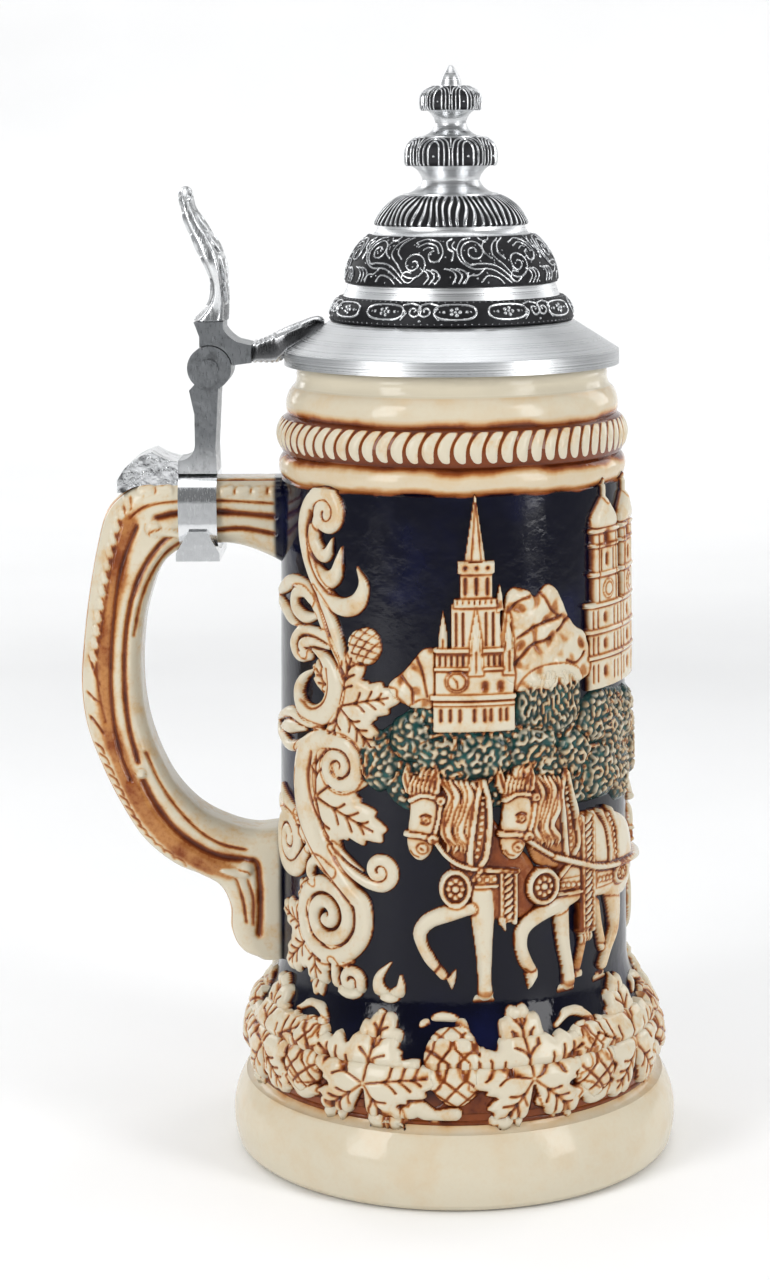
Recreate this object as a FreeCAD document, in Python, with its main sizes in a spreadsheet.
import FreeCAD, Part
import Sketcher
import math
import os

# Lidded beer stein. Millimetres, +Z up, origin on the table at the axis of the vessel.
# The handle and the lid hinge lie on the -X side, and the hinge pin is parallel to Y.

SIZES = {
    # Stoneware foot, flare and wall.
    "foot_recess_radius": 47.0,
    "foot_recess_height": 5.0,
    "foot_ring_inner_radius": 49.0,
    "foot_ring_outer_radius": 57.6,
    "foot_edge_radius": 60.9,
    "foot_edge_height": 2.2,
    "foot_edge_round": 4.0,
    "foot_swell": 21.0,
    "foot_top_radius": 58.4,
    "foot_top_height": 20.8,
    "cove_round": 2.6,
    "band_bottom_radius": 55.9,
    "band_bottom_height": 23.8,
    "flare_swell": 28.0,
    "flare_middle_radius": 53.0,
    "flare_middle_height": 43.0,
    "flare_hollow": 22.0,
    "wall_bottom_radius": 48.2,
    "wall_bottom_height": 56.5,
    "wall_top_radius": 46.3,
    "wall_top_height": 187.3,
    # Mouldings between the wall and the mouth.
    "collar_bottom_radius": 45.7,
    "collar_bottom_height": 187.9,
    "collar_swell": 4.6,
    "collar_top_radius": 45.9,
    "collar_top_height": 193.9,
    "lower_groove_radius": 45.3,
    "lower_groove_height": 194.4,
    "rope_bottom_radius": 45.8,
    "rope_bottom_height": 194.9,
    "rope_swell": 8.0,
    "rope_top_radius": 45.2,
    "rope_top_height": 204.2,
    "upper_groove_radius": 44.3,
    "upper_groove_height": 204.8,
    "neck_bottom_radius": 44.5,
    "neck_bottom_height": 205.4,
    "neck_swell": 7.0,
    "neck_top_radius": 42.4,
    "neck_top_height": 212.6,
    "lip_hollow": 4.0,
    "lip_outer_radius": 41.8,
    "lip_round": 1.2,
    "lip_height": 217.6,
    # Inside of the vessel.
    "mouth_radius": 38.8,
    "mouth_depth": 7.0,
    "bore_top_radius": 41.2,
    "bore_bottom_radius": 43.0,
    "bore_bottom_height": 60.0,
    "well_top_height": 38.0,
    "well_radius": 50.0,
    "well_round": 12.0,
    "well_bottom_radius": 40.0,
    "floor_height": 12.0,
    # Handle, seen from the side.
    "handle_width": 20.0,
    "handle_round": 6.0,
    "handle_root": -38.0,
    "root_cut_overrun": 7.0,
    "handle_top_height": 187.5,
    "handle_shoulder_reach": -82.7,
    "handle_shoulder_low_reach": -93.2,
    "handle_shoulder_low_height": 179.7,
    "handle_back_reach": -101.7,
    "handle_back_height": 130.0,
    "handle_belly_reach": -98.0,
    "handle_belly_height": 111.0,
    "handle_elbow_reach": -90.0,
    "handle_elbow_height": 93.3,
    "handle_heel_reach": -78.0,
    "handle_heel_height": 80.2,
    "handle_notch_reach": -67.0,
    "handle_tail_reach": -61.8,
    "handle_tail_low_height": 61.2,
    "handle_tail_end_height": 53.3,
    "gap_floor_height": 89.8,
    "gap_floor_reach": -56.0,
    "gap_low_reach": -76.0,
    "gap_low_height": 101.0,
    "gap_back_reach": -85.0,
    "gap_back_height": 135.0,
    "gap_high_reach": -80.2,
    "gap_high_height": 164.0,
    "gap_roof_height": 169.8,
    "gap_root_reach": -59.0,
    "gap_root_drop": 11.5,
    # Pewter strap round the handle, its buckle and the leaf on top.
    "strap_near_reach": -63.2,
    "strap_length": 10.4,
    "strap_thickness": 1.5,
    "buckle_half_foot": 5.9,
    "buckle_half_head": 2.4,
    "buckle_bottom_height": 165.9,
    "buckle_shoulder_height": 168.0,
    "buckle_head_height": 174.0,
    "buckle_thickness": 1.0,
    "tang_width": 16.0,
    "tang_bottom_height": 184.0,
    "tang_near_height": 192.3,
    "tang_crest_reach": -80.5,
    "tang_crest_height": 195.0,
    "tang_far_reach": -88.4,
    "tang_far_height": 190.2,
    "tang_tip_reach": -90.2,
    "tang_tip_height": 187.2,
    # Hinge.
    "pin_reach": -64.8,
    "pin_height": 217.3,
    "pin_radius": 1.5,
    "pin_clearance": 0.05,
    "knuckle_radius": 5.9,
    "hinge_width": 15.0,
    "leaf_width": 2.8,
    "side_clearance": 0.3,
    "swing_clearance": 0.4,
    "pin_cap_radius": 2.4,
    "pin_cap_thickness": 0.7,
    "post_saddle_height": 192.6,
    "post_hollow": 4.0,
    "post_hollow_round": 4.4,
    "post_back_reach": -69.0,
    "post_back_height": 197.0,
    "post_waist_height": 205.0,
    "post_notch_reach": -70.3,
    "post_notch_height": 211.4,
    "post_front_low_reach": -63.5,
    "post_front_low_height": 196.0,
    "post_front_high_reach": -62.4,
    "post_front_high_height": 213.0,
    # Shank of the lid: block over the hinge and arm to the rim.
    "arm_bottom_height": 218.7,
    "arm_end_reach": -53.5,
    "arm_end_height": 223.4,
    "arm_middle_reach": -57.2,
    "arm_middle_height": 224.3,
    "arm_hollow": 9.0,
    "block_front_reach": -60.9,
    "block_front_height": 227.8,
    "block_top_height": 229.6,
    "block_back_reach": -68.7,
    "block_waist_reach": -67.3,
    "block_waist_height": 225.8,
    "block_foot_height": 222.0,
    # Cast leaf that joins the shank to the rim and lies on the brim.
    "mount_leaf_width": 12.0,
    "mount_leaf_inner_reach": -33.5,
    "mount_leaf_tip_reach": -36.2,
    "mount_leaf_tip_height": 230.0,
    "mount_leaf_back_reach": -51.5,
    "mount_leaf_back_height": 224.3,
    # Thumblift.
    "lift_front_reach": -60.6,
    "lift_front_height": 235.5,
    "lift_front_swell": 13.7,
    "lift_bend_reach": -62.0,
    "lift_bend_height": 249.0,
    "lift_neck_reach": -69.4,
    "lift_neck_height": 260.8,
    "lift_tip_reach": -69.7,
    "lift_tip_height": 264.3,
    "lift_tip_round": 1.15,
    "lift_tip_back_reach": -71.9,
    "lift_back_neck_reach": -71.3,
    "lift_back_neck_height": 259.5,
    "lift_back_bend_reach": -66.6,
    "lift_back_bend_height": 247.0,
    "lift_back_sweep": 12.0,
    "lift_web_reach": -63.1,
    "lift_web_height": 238.5,
    "lift_web_hollow": 14.0,
    "lift_root_half_width": 6.5,
    "lift_wing_half_width": 9.5,
    "lift_wing_height": 246.0,
    "lift_wing_sweep": 18.0,
    "lift_crown_half_width": 3.5,
    "lift_crown_height": 265.0,
    "lift_crown_sweep": 24.0,
    "lift_crown_round": 6.0,
    # Lid: brim, locating ring and stacked bands.
    "rim_radius": 45.0,
    "rim_bottom_height": 217.9,
    "rim_top_height": 221.6,
    "brim_seat_radius": 32.0,
    "brim_seat_height": 229.85,
    "brim_bore_radius": 29.0,
    "brim_bore_bottom_height": 228.0,
    "flange_bore_top_height": 222.8,
    "locating_ring_radius": 38.2,
    "locating_ring_bore": 37.0,
    "locating_ring_bottom_height": 213.6,
    "locating_ring_top_height": 222.0,
    "lower_band_radius": 32.6,
    "lower_band_bore": 30.4,
    "lower_band_side_height": 230.6,
    "lower_band_swell": 6.0,
    "lower_band_top_radius": 29.5,
    "lower_band_top_bore": 27.2,
    "lower_band_top_height": 236.1,
    "lower_ring_radius": 29.0,
    "lower_ring_top_radius": 27.7,
    "lower_ring_top_height": 239.7,
    "middle_dome_radius": 28.4,
    "middle_dome_bore": 25.8,
    "middle_dome_side_height": 240.3,
    "middle_dome_swell": 15.2,
    "middle_dome_top_radius": 21.8,
    "middle_dome_top_bore": 18.6,
    "middle_dome_top_height": 252.2,
    "middle_ring_radius": 21.2,
    "middle_ring_hollow": 3.0,
    "middle_ring_top_radius": 19.7,
    "middle_ring_top_height": 254.7,
    "fluted_dome_radius": 20.3,
    "fluted_dome_bore": 17.6,
    "fluted_dome_swell": 12.0,
    "fluted_dome_top_radius": 12.6,
    "fluted_dome_top_height": 262.2,
    "fluted_dome_roof": 2.0,
    "fluted_dome_roof_bore": 11.0,
    # Finial: turned necks and cast knops threaded on a stud.
    "lower_neck_edge_height": 262.9,
    "lower_neck_hollow": 5.5,
    "lower_neck_waist_radius": 7.6,
    "lower_neck_waist_height": 266.5,
    "lower_neck_top_radius": 10.6,
    "lower_knop_bottom_height": 270.2,
    "lower_knop_bottom_radius": 11.3,
    "lower_knop_edge_round": 1.2,
    "lower_knop_radius": 12.0,
    "lower_knop_edge_height": 271.2,
    "lower_knop_side_height": 273.6,
    "lower_knop_shoulder": 4.4,
    "lower_knop_top_radius": 8.6,
    "lower_knop_top_height": 277.5,
    "upper_neck_bottom_radius": 8.2,
    "upper_neck_edge_height": 277.9,
    "upper_neck_hollow": 4.4,
    "upper_neck_waist_radius": 4.1,
    "upper_neck_waist_height": 281.2,
    "upper_neck_top_radius": 6.4,
    "upper_knop_bottom_height": 284.7,
    "upper_knop_bottom_radius": 7.2,
    "upper_knop_edge_round": 0.9,
    "upper_knop_radius": 7.9,
    "upper_knop_edge_height": 285.5,
    "upper_knop_side_height": 287.5,
    "upper_knop_shoulder": 3.0,
    "upper_knop_top_radius": 5.4,
    "upper_knop_top_height": 290.2,
    "upper_knop_collar_radius": 4.5,
    "upper_knop_collar_height": 290.9,
    "tip_radius": 2.9,
    "tip_swell": 9.0,
    "tip_cap_radius": 0.9,
    "tip_cap_height": 295.8,
    "tip_cap_round": 0.9,
    "tip_flat_radius": 0.3,
    "tip_height": 296.3,
    "stud_radius": 2.0,
    "stud_bottom_height": 255.6,
    "stud_top_height": 292.6,
    "nut_radius": 4.2,
    "nut_thickness": 3.0,
}

OUTWARD = 1
INWARD = -1
SMOOTH = "smooth"

doc = FreeCAD.newDocument("beer_stein")
sheet = doc.addObject("Spreadsheet::Sheet", "Sizes")


def expression_of(value):
    """Sheet expression of a dimension, or the number itself."""
    if isinstance(value, Dimension):
        return value.expression
    return repr(float(value))


class Dimension(float):
    """A length in millimetres that remembers the sheet expression it comes from."""

    def __new__(cls, number, expression):
        dimension = super().__new__(cls, number)
        dimension.expression = expression
        return dimension

    def combine(self, sign, other, number):
        return Dimension(number, f"({self.expression} {sign} {expression_of(other)})")

    def __add__(self, other):
        return self.combine("+", other, float(self) + float(other))

    def __sub__(self, other):
        return self.combine("-", other, float(self) - float(other))

    def __mul__(self, other):
        return self.combine("*", other, float(self) * float(other))

    def __truediv__(self, other):
        return self.combine("/", other, float(self) / float(other))

    def __neg__(self):
        return Dimension(-float(self), f"(-1 * {self.expression})")


class Loose(float):
    """A first guess at a coordinate that tangency settles."""


class Sizes:
    """The driving dimensions, each one bound to its cell of the sheet."""

    def __init__(self, table):
        for row, (name, number) in enumerate(table.items(), start=1):
            sheet.set(f"A{row}", name)
            sheet.set(f"B{row}", str(number))
            sheet.setAlias(f"B{row}", name)
            setattr(self, name, Dimension(number, f"Sizes.{name}"))


def bind(feature, property_name, value):
    """Set a property from a dimension, through its expression."""
    feature.setExpression(property_name, expression_of(value))


def new_body(name):
    body = doc.addObject("PartDesign::Body", name)
    body.Label = name
    return body


def new_sketch(body, role, offset=None):
    """Sketch on one of the body's own origin planes, shifted along its normal."""
    sketch = body.newObject("Sketcher::SketchObject", body.Name + "_sketch")
    plane = [item for item in body.Origin.OriginFeatures if item.Role == role][0]
    sketch.AttachmentSupport = [(plane, "")]
    sketch.MapMode = "FlatFace"
    if offset is not None:
        bind(sketch, "AttachmentOffset.Base.z", offset)
    return sketch


def arc_between(start, end, radius, side):
    """Minor arc from start to end, and the sketch vertices at its start and end."""
    half_x = (end[0] - start[0]) / 2
    half_y = (end[1] - start[1]) / 2
    half_chord = math.hypot(half_x, half_y)
    rise = math.sqrt(float(radius) ** 2 - half_chord ** 2) / half_chord
    centre_x = start[0] + half_x - side * half_y * rise
    centre_y = start[1] + half_y + side * half_x * rise
    angles = [math.atan2(point[1] - centre_y, point[0] - centre_x) for point in (start, end)]
    vertices = (1, 2)
    if side == INWARD:
        angles.reverse()
        vertices = (2, 1)
    if angles[1] < angles[0]:
        angles[1] += 2 * math.pi
    circle = Part.Circle(FreeCAD.Vector(centre_x, centre_y, 0), FreeCAD.Vector(0, 0, 1), float(radius))
    return Part.ArcOfCircle(circle, angles[0], angles[1]), vertices


def add_segment(sketch, start, heading, corner):
    """Line or arc from start to a corner. Returns its number, its two sketch vertices and the
    heading at its end; heading is the direction of the outline, as an angle, at start."""
    end = (float(corner[0]), float(corner[1]))
    chord_heading = math.atan2(end[1] - start[1], end[0] - start[0])
    if len(corner) < 4:
        line = Part.LineSegment(FreeCAD.Vector(*start, 0), FreeCAD.Vector(*end, 0))
        return sketch.addGeometry(line, False), (1, 2), chord_heading
    radius, side = corner[2:]
    half_chord = math.dist(start, end) / 2
    if radius is SMOOTH:
        half_turn = abs(math.remainder(chord_heading - heading, 2 * math.pi))
        arc, vertices = arc_between(start, end, half_chord / math.sin(half_turn), side)
        return sketch.addGeometry(arc, False), vertices, chord_heading + side * half_turn
    arc, vertices = arc_between(start, end, radius, side)
    segment = sketch.addGeometry(arc, False)
    constraint = sketch.addConstraint(Sketcher.Constraint("Radius", segment, float(radius)))
    sketch.setExpression(f"Constraints[{constraint}]", expression_of(radius))
    return segment, vertices, chord_heading + side * math.asin(half_chord / radius)


def pin_coordinate(sketch, kind, axis, segment, vertex, value):
    """Fix one coordinate of a vertex: on the axis if it is zero, else by a bound distance."""
    if isinstance(value, Loose):
        return
    if not isinstance(value, Dimension) and value == 0:
        sketch.addConstraint(Sketcher.Constraint("PointOnObject", segment, vertex, axis))
        return
    constraint = sketch.addConstraint(
        Sketcher.Constraint(kind, -1, 1, segment, vertex, float(value)))
    sketch.setExpression(f"Constraints[{constraint}]", expression_of(value))


def add_outline(sketch, corners):
    """Closed outline, anticlockwise. A corner is (x, y) and says how it is reached:
    (x, y) by a straight line, (x, y, radius, OUTWARD or INWARD) by an arc. SMOOTH in place of
    the radius makes the line or arc tangent to the segment before it."""
    plain = [(float(corner[0]), float(corner[1])) for corner in corners]
    segments = []
    heading = 0
    for index, corner in enumerate(corners):
        segment, vertices, heading = add_segment(sketch, plain[index - 1], heading, corner)
        segments.append((segment, vertices))
    for index, corner in enumerate(corners):
        following = (index + 1) % len(corners)
        before, before_vertices = segments[index]
        after, after_vertices = segments[following]
        kind = "Tangent" if SMOOTH in corners[following][2:] else "Coincident"
        sketch.addConstraint(
            Sketcher.Constraint(kind, before, before_vertices[1], after, after_vertices[0]))
        pin_coordinate(sketch, "DistanceX", -2, before, before_vertices[1], corner[0])
        pin_coordinate(sketch, "DistanceY", -1, before, before_vertices[1], corner[1])


def turned(name, corners):
    """Piece of revolution about the Z axis, from an outline in (radius, height)."""
    body = new_body(name)
    sketch = new_sketch(body, "XZ_Plane")
    add_outline(sketch, corners)
    revolution = body.newObject("PartDesign::Revolution", name + "_revolution")
    revolution.Profile = sketch
    revolution.ReferenceAxis = (sketch, ["V_Axis"])
    revolution.Angle = 360
    return body


def side_plate(name, corners, width):
    """Plate with an outline in (X, Z), padded evenly to both sides of the XZ plane."""
    body = new_body(name)
    sketch = new_sketch(body, "XZ_Plane")
    add_outline(sketch, corners)
    pad = body.newObject("PartDesign::Pad", name + "_pad")
    pad.Profile = sketch
    pad.SideType = "Symmetric"
    bind(pad, "Length", width)
    return body


def cross_prism(name, outlines, near_reach, length):
    """Prism along X with outlines in (Y, Z), from near_reach towards -X."""
    body = new_body(name)
    sketch = new_sketch(body, "YZ_Plane", near_reach - length)
    for corners in outlines:
        add_outline(sketch, corners)
    pad = body.newObject("PartDesign::Pad", name + "_pad")
    pad.Profile = sketch
    bind(pad, "Length", length)
    return body


def cylinder_across(name, radius, length, start):
    """Cylinder on the hinge axis, from Y = start towards +Y."""
    cylinder = doc.addObject("Part::Cylinder", name)
    bind(cylinder, "Radius", radius)
    bind(cylinder, "Height", length)
    cylinder.Placement = FreeCAD.Placement(
        FreeCAD.Vector(0, 0, 0), FreeCAD.Rotation(FreeCAD.Vector(1, 0, 0), -90))
    bind(cylinder, "Placement.Base.x", size.pin_reach)
    bind(cylinder, "Placement.Base.y", start)
    bind(cylinder, "Placement.Base.z", size.pin_height)
    return cylinder


def upright_cylinder(name, radius, length, bottom):
    """Cylinder on the Z axis."""
    cylinder = doc.addObject("Part::Cylinder", name)
    bind(cylinder, "Radius", radius)
    bind(cylinder, "Height", length)
    bind(cylinder, "Placement.Base.z", bottom)
    return cylinder


def fused(name, shapes):
    fuse = doc.addObject("Part::MultiFuse", name)
    fuse.Shapes = shapes
    fuse.Label = name
    return fuse


def cut(name, base, tool):
    result = doc.addObject("Part::Cut", name)
    result.Base = base
    result.Tool = tool
    result.Label = name
    return result


def rounded_rectangle(half_width, bottom, top, corner):
    """Outline of a rectangle about the Z axis with four round corners."""
    return [
        (half_width - corner, bottom),
        (half_width, bottom + corner, corner, OUTWARD),
        (half_width, top - corner),
        (half_width - corner, top, corner, OUTWARD),
        (corner - half_width, top),
        (-half_width, top - corner, corner, OUTWARD),
        (-half_width, bottom + corner),
        (corner - half_width, bottom, corner, OUTWARD),
    ]


def stoneware_body():
    """Hollow vessel with foot, flare, wall, collar, rope band, neck and rounded lip."""
    s = size
    return turned("stoneware_body", [
        (0, s.foot_recess_height),
        (s.foot_recess_radius, s.foot_recess_height),
        (s.foot_ring_inner_radius, 0),
        (s.foot_ring_outer_radius, 0),
        (s.foot_edge_radius, s.foot_edge_height, s.foot_edge_round, OUTWARD),
        (s.foot_top_radius, s.foot_top_height, s.foot_swell, OUTWARD),
        (s.band_bottom_radius, s.band_bottom_height, s.cove_round, INWARD),
        (s.flare_middle_radius, s.flare_middle_height, s.flare_swell, OUTWARD),
        (s.wall_bottom_radius, s.wall_bottom_height, s.flare_hollow, INWARD),
        (s.wall_top_radius, s.wall_top_height),
        (s.collar_bottom_radius, s.collar_bottom_height),
        (s.collar_top_radius, s.collar_top_height, s.collar_swell, OUTWARD),
        (s.lower_groove_radius, s.lower_groove_height),
        (s.rope_bottom_radius, s.rope_bottom_height),
        (s.rope_top_radius, s.rope_top_height, s.rope_swell, OUTWARD),
        (s.upper_groove_radius, s.upper_groove_height),
        (s.neck_bottom_radius, s.neck_bottom_height),
        (s.neck_top_radius, s.neck_top_height, s.neck_swell, OUTWARD),
        (s.lip_outer_radius, s.lip_height - s.lip_round * 2, s.lip_hollow, INWARD),
        (s.lip_outer_radius - s.lip_round, s.lip_height, s.lip_round * 2, OUTWARD),
        (s.mouth_radius + s.lip_round, s.lip_height),
        (s.mouth_radius, s.lip_height - s.lip_round, s.lip_round, OUTWARD),
        (s.mouth_radius, s.lip_height - s.mouth_depth),
        (s.bore_top_radius, s.collar_top_height),
        (s.bore_bottom_radius, s.bore_bottom_height),
        (s.well_radius, s.well_top_height),
        (s.well_radius, s.floor_height + s.well_round),
        (s.well_bottom_radius, s.floor_height, s.well_round, INWARD),
        (0, s.floor_height),
    ])


def handle_outline():
    """Side view of the handle; both roots run on into the vessel."""
    s = size
    tail_round = s.handle_tail_low_height - s.handle_tail_end_height
    return [
        (s.handle_root, s.handle_top_height),
        (s.handle_shoulder_reach, s.handle_top_height),
        (s.handle_shoulder_low_reach, s.handle_shoulder_low_height, SMOOTH, OUTWARD),
        (s.handle_back_reach, s.handle_back_height, SMOOTH, OUTWARD),
        (s.handle_belly_reach, Loose(s.handle_belly_height), SMOOTH, OUTWARD),
        (s.handle_elbow_reach, s.handle_elbow_height, SMOOTH),
        (s.handle_heel_reach, s.handle_heel_height, SMOOTH, OUTWARD),
        (s.handle_notch_reach, Loose(s.handle_heel_height - tail_round * 0.8), SMOOTH),
        (s.handle_tail_reach, Loose(s.handle_tail_low_height + tail_round / 2), SMOOTH, INWARD),
        (s.handle_tail_reach, s.handle_tail_low_height, SMOOTH),
        (Loose(s.handle_tail_reach + tail_round), s.handle_tail_end_height, SMOOTH, OUTWARD),
        (s.handle_root, s.handle_tail_end_height, SMOOTH),
        (s.handle_root, s.gap_floor_height),
        (s.gap_floor_reach, s.gap_floor_height),
        (s.gap_low_reach, s.gap_low_height, SMOOTH, INWARD),
        (s.gap_back_reach, s.gap_back_height, SMOOTH, INWARD),
        (s.gap_high_reach, s.gap_high_height, SMOOTH, INWARD),
        (Loose(s.gap_high_reach + tail_round), s.gap_roof_height, SMOOTH, INWARD),
        (s.gap_root_reach, s.gap_roof_height, SMOOTH),
        (s.handle_root, s.gap_roof_height - s.gap_root_drop),
    ]


def handle():
    """Cast handle with rounded edges, its roots shaped to the vessel's wall."""
    s = size
    body = side_plate("handle", handle_outline(), s.handle_width)
    doc.recompute()
    pad = body.Tip
    half_width = float(s.handle_width) / 2
    edges = []
    for number, edge in enumerate(pad.Shape.Edges, start=1):
        box = edge.BoundBox
        on_side_face = box.YLength < 0.001 and abs(abs(box.YMax) - half_width) < 0.001
        if on_side_face and box.XMin < float(s.handle_root) - 1:
            edges.append(f"Edge{number}")
    fillet = body.newObject("PartDesign::Fillet", "handle_fillet")
    fillet.Base = (pad, edges)
    bind(fillet, "Radius", s.handle_round)
    doc.recompute()
    before = fillet.Shape.Volume
    sketch = new_sketch(body, "XZ_Plane")
    slope = (s.wall_bottom_radius - s.wall_top_radius) / (s.wall_top_height - s.wall_bottom_height)
    rise = s.wall_top_height - s.handle_tail_end_height
    add_outline(sketch, [
        (0, s.handle_tail_end_height - s.root_cut_overrun),
        (s.wall_top_radius + slope * (rise + s.root_cut_overrun), s.handle_tail_end_height - s.root_cut_overrun),
        (s.wall_top_radius - slope * s.root_cut_overrun, s.wall_top_height + s.root_cut_overrun),
        (0, s.wall_top_height + s.root_cut_overrun),
    ])
    groove = body.newObject("PartDesign::Groove", "handle_root_groove")
    groove.Profile = sketch
    groove.ReferenceAxis = (sketch, ["V_Axis"])
    groove.Angle = 360
    doc.recompute()
    if groove.Shape.Volume >= before:
        raise RuntimeError("the handle's roots were not cut to the wall")
    return body


def strap_outline(offset):
    """Section of the strap's outer face, or of its inner face when the offset is zero."""
    s = size
    return rounded_rectangle(
        s.handle_width / 2 + offset, s.gap_roof_height - offset,
        s.handle_top_height + offset, s.handle_round + offset)


def strap_band():
    """Pewter strap bent round the handle's straight top."""
    s = size
    outlines = [strap_outline(s.strap_thickness), strap_outline(0)]
    return cross_prism("strap_band", outlines, s.strap_near_reach, s.strap_length)


def strap_buckle():
    """Closing plate under the handle, with a pointed tab folded up on each side of the strap."""
    s = size
    middle = s.strap_near_reach - s.strap_length / 2
    blank = side_plate("strap_buckle_blank", [
        (middle - s.buckle_half_foot, s.buckle_bottom_height),
        (middle + s.buckle_half_foot, s.buckle_bottom_height),
        (middle + s.buckle_half_foot, s.buckle_shoulder_height),
        (middle + s.buckle_half_head, s.buckle_head_height),
        (middle - s.buckle_half_head, s.buckle_head_height),
        (middle - s.buckle_half_foot, s.buckle_shoulder_height),
    ], s.handle_width + (s.strap_thickness + s.buckle_thickness) * 2)
    overrun = s.buckle_half_foot
    core = cross_prism(
        "strap_buckle_core", [strap_outline(s.strap_thickness)],
        s.strap_near_reach + overrun, s.strap_length + overrun * 2)
    return cut("strap_buckle", blank, core)


def tang_leaf(handle_body):
    """Hammered leaf at the back of the strap, bedded on the top of the handle."""
    s = size
    far_side = s.strap_near_reach - s.strap_length
    blank = side_plate("tang_leaf_blank", [
        (far_side, s.tang_bottom_height),
        (far_side, s.tang_near_height),
        (s.tang_crest_reach, s.tang_crest_height, s.tang_width, INWARD),
        (s.tang_far_reach, s.tang_far_height, s.tang_width, OUTWARD),
        (s.tang_tip_reach, s.tang_tip_height),
        (s.tang_tip_reach, s.tang_bottom_height),
    ], s.tang_width)
    return cut("tang_leaf", blank, handle_body)


def hinge_post():
    """Post on the strap with three hinge leaves, the pin hole tight on the pin."""
    s = size
    far_side = s.strap_near_reach - s.strap_length
    saddle = s.handle_top_height + s.strap_thickness
    column = side_plate("hinge_post_column", [
        (far_side, saddle),
        (s.strap_near_reach, saddle),
        (s.post_front_low_reach, s.post_front_low_height),
        (s.post_front_high_reach, s.post_front_high_height),
        (s.pin_reach, s.pin_height),
        (s.post_notch_reach, s.post_notch_height),
        (s.post_back_reach, s.post_waist_height),
        (s.post_back_reach, s.post_back_height),
        (s.post_back_reach - s.post_hollow, s.post_saddle_height, s.post_hollow_round, INWARD),
        (far_side, s.post_saddle_height),
    ], s.hinge_width)
    ring = cylinder_across("hinge_post_ring", s.knuckle_radius, s.hinge_width, -s.hinge_width / 2)
    slot_radius = s.knuckle_radius + s.swing_clearance
    slot_width = s.hinge_width / 2 - s.leaf_width * 1.5
    slots = [
        cylinder_across("hinge_post_front_slot", slot_radius, slot_width, -s.leaf_width / 2 - slot_width),
        cylinder_across("hinge_post_back_slot", slot_radius, slot_width, s.leaf_width / 2),
    ]
    hole = cylinder_across("hinge_post_hole", s.pin_radius, s.hinge_width * 2, -s.hinge_width)
    return cut("hinge_post", fused("hinge_post_solid", [column, ring]), fused("hinge_post_cuts", slots + [hole]))


def hinge_pin():
    s = size
    pin = cylinder_across("hinge_pin", s.pin_radius, s.hinge_width, -s.hinge_width / 2)
    pin.Label = "hinge_pin"
    return pin


def pin_caps():
    """Riveted caps on both ends of the pin."""
    s = size
    front = cylinder_across(
        "pin_cap_front", s.pin_cap_radius, s.pin_cap_thickness, -s.hinge_width / 2 - s.pin_cap_thickness)
    back = cylinder_across("pin_cap_back", s.pin_cap_radius, s.pin_cap_thickness, s.hinge_width / 2)
    return [front, back]


def lid_shank():
    """Block over the hinge and arm to the rim, with two knuckles between the post's leaves."""
    s = size
    arm = side_plate("lid_shank_arm", [
        (s.pin_reach, s.pin_height),
        (s.arm_end_reach, s.arm_bottom_height),
        (s.arm_end_reach, s.arm_end_height),
        (s.arm_middle_reach, s.arm_middle_height),
        (s.block_front_reach, s.block_front_height, s.arm_hollow, INWARD),
        (s.block_front_reach, s.block_top_height),
        (s.block_back_reach, s.block_top_height),
        (s.block_waist_reach, s.block_waist_height),
        (s.block_waist_reach, s.block_foot_height),
    ], s.hinge_width)
    gap_width = s.leaf_width + s.side_clearance * 2
    knuckles_width = s.hinge_width - s.leaf_width * 2 - s.side_clearance * 2
    knuckles = cylinder_across("lid_shank_knuckles", s.knuckle_radius, knuckles_width, -knuckles_width / 2)
    clear_radius = s.knuckle_radius + s.side_clearance
    cuts = [
        cylinder_across("lid_shank_middle_gap", clear_radius, gap_width, -gap_width / 2),
        cylinder_across("lid_shank_front_gap", clear_radius, gap_width, -knuckles_width / 2 - gap_width),
        cylinder_across("lid_shank_back_gap", clear_radius, gap_width, knuckles_width / 2),
        cylinder_across("lid_shank_hole", s.pin_radius + s.pin_clearance, s.hinge_width * 2, -s.hinge_width),
    ]
    return cut("lid_shank", fused("lid_shank_solid", [arm, knuckles]), fused("lid_shank_cuts", cuts))


def brim_outline():
    """Flange on the vessel's lip and cone up to the seat of the lower band."""
    s = size
    return [
        (s.locating_ring_radius, s.rim_bottom_height),
        (s.rim_radius, s.rim_bottom_height),
        (s.rim_radius, s.rim_top_height),
        (s.brim_seat_radius, s.brim_seat_height),
        (s.brim_bore_radius, s.brim_seat_height),
        (s.brim_bore_radius, s.brim_bore_bottom_height),
        (s.locating_ring_radius, s.flange_bore_top_height),
    ]


def lid_mount_leaf():
    """Cast leaf from the arm's end up over the rim, bedded on the cone of the brim."""
    s = size
    blank = side_plate("lid_mount_leaf_blank", [
        (s.arm_end_reach, s.arm_bottom_height),
        (s.mount_leaf_inner_reach, s.arm_bottom_height),
        (s.mount_leaf_inner_reach, s.rim_top_height),
        (s.mount_leaf_tip_reach, s.mount_leaf_tip_height),
        (s.mount_leaf_back_reach, s.mount_leaf_back_height),
        (s.arm_end_reach, s.arm_end_height),
    ], s.mount_leaf_width)
    bed = turned("lid_mount_leaf_bed", [
        (0, s.rim_bottom_height),
        (s.rim_radius, s.rim_bottom_height),
        (s.rim_radius, s.rim_top_height),
        (s.brim_seat_radius, s.brim_seat_height),
        (0, s.brim_seat_height),
    ])
    return cut("lid_mount_leaf", blank, bed)


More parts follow.
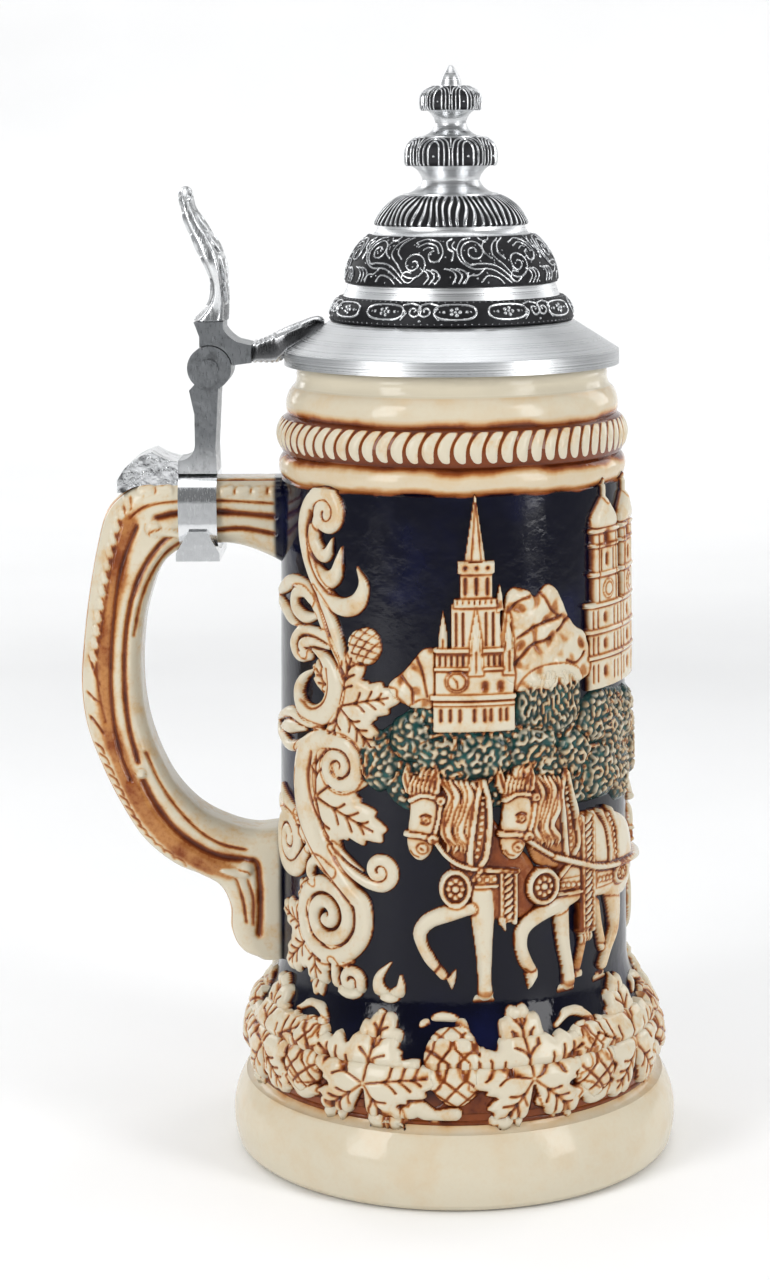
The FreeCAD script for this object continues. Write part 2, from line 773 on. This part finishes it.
def thumblift():
    """Curved plate on the block with a web behind its foot, wider at mid height."""
    s = size
    side = side_plate("thumblift_side", [
        (s.block_front_reach, s.block_top_height),
        (s.lift_front_reach, s.lift_front_height),
        (s.lift_bend_reach, s.lift_bend_height, s.lift_front_swell, OUTWARD),
        (s.lift_neck_reach, s.lift_neck_height),
        (s.lift_tip_reach, s.lift_tip_height),
        (s.lift_tip_back_reach, s.lift_tip_height, s.lift_tip_round, OUTWARD),
        (s.lift_back_neck_reach, s.lift_back_neck_height),
        (s.lift_back_bend_reach, s.lift_back_bend_height),
        (s.lift_web_reach, s.lift_web_height, s.lift_back_sweep, INWARD),
        (s.block_back_reach, s.block_top_height, s.lift_web_hollow, INWARD),
    ], s.lift_wing_half_width * 2)
    depth = s.lift_tip_height - s.block_top_height
    front = cross_prism("thumblift_front", [[
        (s.lift_root_half_width, s.block_top_height),
        (s.lift_wing_half_width, s.lift_wing_height, s.lift_wing_sweep, INWARD),
        (s.lift_crown_half_width, s.lift_crown_height, s.lift_crown_sweep, OUTWARD),
        (-s.lift_crown_half_width, s.lift_crown_height, s.lift_crown_round, OUTWARD),
        (-s.lift_wing_half_width, s.lift_wing_height, s.lift_crown_sweep, OUTWARD),
        (-s.lift_root_half_width, s.block_top_height, s.lift_wing_sweep, INWARD),
    ]], s.block_front_reach + depth / 4, depth)
    common = doc.addObject("Part::Common", "thumblift")
    common.Base = side
    common.Tool = front
    common.Label = "thumblift"
    return common


def lid_rings():
    """Brim, locating ring and the bands and bright rings stacked on it."""
    s = size
    return [
        turned("lid_brim", brim_outline()),
        turned("lid_locating_ring", [
            (s.locating_ring_bore, s.locating_ring_bottom_height),
            (s.locating_ring_radius, s.locating_ring_bottom_height),
            (s.locating_ring_radius, s.locating_ring_top_height),
            (s.locating_ring_bore, s.locating_ring_top_height),
        ]),
        turned("lid_lower_band", [
            (s.lower_band_bore, s.brim_seat_height),
            (s.lower_band_radius, s.brim_seat_height),
            (s.lower_band_radius, s.lower_band_side_height),
            (s.lower_band_top_radius, s.lower_band_top_height, s.lower_band_swell, OUTWARD),
            (s.lower_band_top_bore, s.lower_band_top_height),
        ]),
        turned("lid_lower_ring", [
            (s.lower_band_top_bore, s.lower_band_top_height),
            (s.lower_ring_radius, s.lower_band_top_height),
            (s.lower_ring_top_radius, s.lower_ring_top_height),
            (s.middle_dome_bore, s.lower_ring_top_height),
        ]),
        turned("lid_middle_dome", [
            (s.middle_dome_radius, s.lower_ring_top_height),
            (s.middle_dome_radius, s.middle_dome_side_height),
            (s.middle_dome_top_radius, s.middle_dome_top_height, s.middle_dome_swell, OUTWARD),
            (s.middle_dome_top_bore, s.middle_dome_top_height),
            (s.middle_dome_bore, s.lower_ring_top_height, s.middle_dome_swell, INWARD),
        ]),
        turned("lid_middle_ring", [
            (s.middle_dome_top_bore, s.middle_dome_top_height),
            (s.middle_ring_radius, s.middle_dome_top_height),
            (s.middle_ring_top_radius, s.middle_ring_top_height, s.middle_ring_hollow, INWARD),
            (s.fluted_dome_bore, s.middle_ring_top_height),
        ]),
    ]


def lid_fluted_dome():
    """Small dome with a flat roof, bored for the finial's stud."""
    s = size
    roof = s.fluted_dome_top_height - s.fluted_dome_roof
    return turned("lid_fluted_dome", [
        (s.fluted_dome_radius, s.middle_ring_top_height),
        (s.fluted_dome_top_radius, s.fluted_dome_top_height, s.fluted_dome_swell, OUTWARD),
        (s.stud_radius, s.fluted_dome_top_height),
        (s.stud_radius, roof),
        (s.fluted_dome_roof_bore, roof),
        (s.fluted_dome_bore, s.middle_ring_top_height, s.fluted_dome_swell, INWARD),
    ])


def finial_pieces():
    """Two necks, two knops and the tip, from the bottom up."""
    s = size
    bore = s.stud_radius
    return [
        turned("finial_lower_neck", [
            (bore, s.fluted_dome_top_height),
            (s.fluted_dome_top_radius, s.fluted_dome_top_height),
            (s.fluted_dome_top_radius, s.lower_neck_edge_height),
            (s.lower_neck_waist_radius, s.lower_neck_waist_height, s.lower_neck_hollow, INWARD),
            (s.lower_neck_top_radius, s.lower_knop_bottom_height, s.lower_neck_hollow, INWARD),
            (bore, s.lower_knop_bottom_height),
        ]),
        turned("finial_lower_knop", [
            (bore, s.lower_knop_bottom_height),
            (s.lower_knop_bottom_radius, s.lower_knop_bottom_height),
            (s.lower_knop_radius, s.lower_knop_edge_height, s.lower_knop_edge_round, OUTWARD),
            (s.lower_knop_radius, s.lower_knop_side_height),
            (s.lower_knop_top_radius, s.lower_knop_top_height, s.lower_knop_shoulder, OUTWARD),
            (bore, s.lower_knop_top_height),
        ]),
        turned("finial_upper_neck", [
            (bore, s.lower_knop_top_height),
            (s.upper_neck_bottom_radius, s.lower_knop_top_height),
            (s.upper_neck_bottom_radius, s.upper_neck_edge_height),
            (s.upper_neck_waist_radius, s.upper_neck_waist_height, s.upper_neck_hollow, INWARD),
            (s.upper_neck_top_radius, s.upper_knop_bottom_height, s.upper_neck_hollow, INWARD),
            (bore, s.upper_knop_bottom_height),
        ]),
        turned("finial_upper_knop", [
            (bore, s.upper_knop_bottom_height),
            (s.upper_knop_bottom_radius, s.upper_knop_bottom_height),
            (s.upper_knop_radius, s.upper_knop_edge_height, s.upper_knop_edge_round, OUTWARD),
            (s.upper_knop_radius, s.upper_knop_side_height),
            (s.upper_knop_top_radius, s.upper_knop_top_height, s.upper_knop_shoulder, OUTWARD),
            (s.upper_knop_collar_radius, s.upper_knop_top_height),
            (s.upper_knop_collar_radius, s.upper_knop_collar_height),
            (bore, s.upper_knop_collar_height),
        ]),
        turned("finial_tip", [
            (bore, s.upper_knop_collar_height),
            (s.tip_radius, s.upper_knop_collar_height),
            (s.tip_cap_radius, s.tip_cap_height, s.tip_swell, OUTWARD),
            (s.tip_flat_radius, s.tip_height, s.tip_cap_round, OUTWARD),
            (0, s.tip_height),
            (0, s.stud_top_height),
            (bore, s.stud_top_height),
        ]),
    ]


def finial_stud():
    s = size
    stud = upright_cylinder(
        "finial_stud", s.stud_radius, s.stud_top_height - s.stud_bottom_height, s.stud_bottom_height)
    stud.Label = "finial_stud"
    return stud


def finial_nut():
    """Hexagon nut under the roof of the fluted dome."""
    s = size
    bottom = s.fluted_dome_top_height - s.fluted_dome_roof - s.nut_thickness
    prism = doc.addObject("Part::Prism", "finial_nut_prism")
    prism.Polygon = 6
    bind(prism, "Circumradius", s.nut_radius)
    bind(prism, "Height", s.nut_thickness)
    bind(prism, "Placement.Base.z", bottom)
    hole = upright_cylinder("finial_nut_hole", s.stud_radius, s.nut_thickness, bottom)
    return cut("finial_nut", prism, hole)


def check(objects):
    """Stop if any object failed to compute or any piece is not one sound solid."""
    for item in doc.Objects:
        if "Invalid" in item.State or "Error" in item.State:
            raise RuntimeError(f"{item.Name} did not compute: {item.State}")
    for item in objects:
        shape = item.Shape
        if shape.isNull() or not shape.isValid() or len(shape.Solids) != 1:
            raise RuntimeError(f"{item.Label} is not one valid solid")


size = Sizes(SIZES)
doc.recompute()
handle_piece = handle()
pieces = [
    stoneware_body(),
    handle_piece,
    strap_band(),
    strap_buckle(),
    tang_leaf(handle_piece),
    hinge_post(),
    hinge_pin(),
    *pin_caps(),
    lid_shank(),
    lid_mount_leaf(),
    thumblift(),
    *lid_rings(),
    lid_fluted_dome(),
    *finial_pieces(),
    finial_stud(),
    finial_nut(),
]
doc.recompute()
check(pieces)
os.makedirs("parts", exist_ok=True)
for piece in pieces:
    piece.Shape.exportStep(f"parts/{piece.Label}.step")
    print(f"{piece.Label}: {piece.Shape.Volume / 1000:.2f} cm3")
